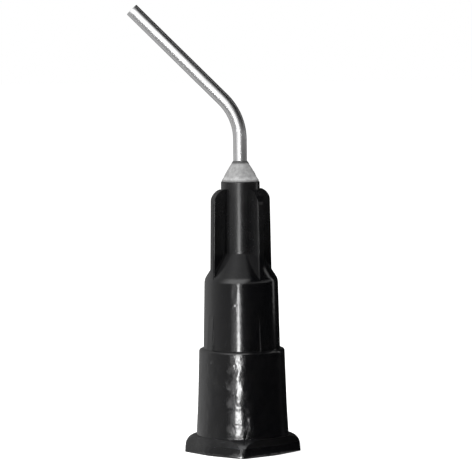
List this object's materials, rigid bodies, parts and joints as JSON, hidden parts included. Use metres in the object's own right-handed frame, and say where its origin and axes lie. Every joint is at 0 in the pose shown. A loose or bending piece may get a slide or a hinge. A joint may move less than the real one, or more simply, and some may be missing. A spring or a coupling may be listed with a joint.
{
  "type": "bent dispensing needle tip",
  "caption": "Black luer-lock hub with a square-cornered flange, stepped barrel and finned core, holding a blunt steel cannula bent to 45 degrees in a resin collar.",
  "frame": {"origin": "centre of the hub's mouth, on the face that the socket opens from", "axes": "+Z along the hub's axis towards the cannula; the cannula bends towards -X in the XZ plane; +Y completes the frame, and the front view looks along +Y"},
  "size_m": [0.0113, 0.0078, 0.0299],
  "materials": {
    "hub": "moulded black polypropylene, glossy barrel and satin core, scuffed",
    "cannula": "drawn stainless tube, bright with fine lengthways lines",
    "resin": "cured grey bonding resin, mottled satin"
  },
  "bodies": {
    "root": {"hub": "hub", "cannula": "cannula", "resin_collar": "resin"}
  },
  "joints": []
}
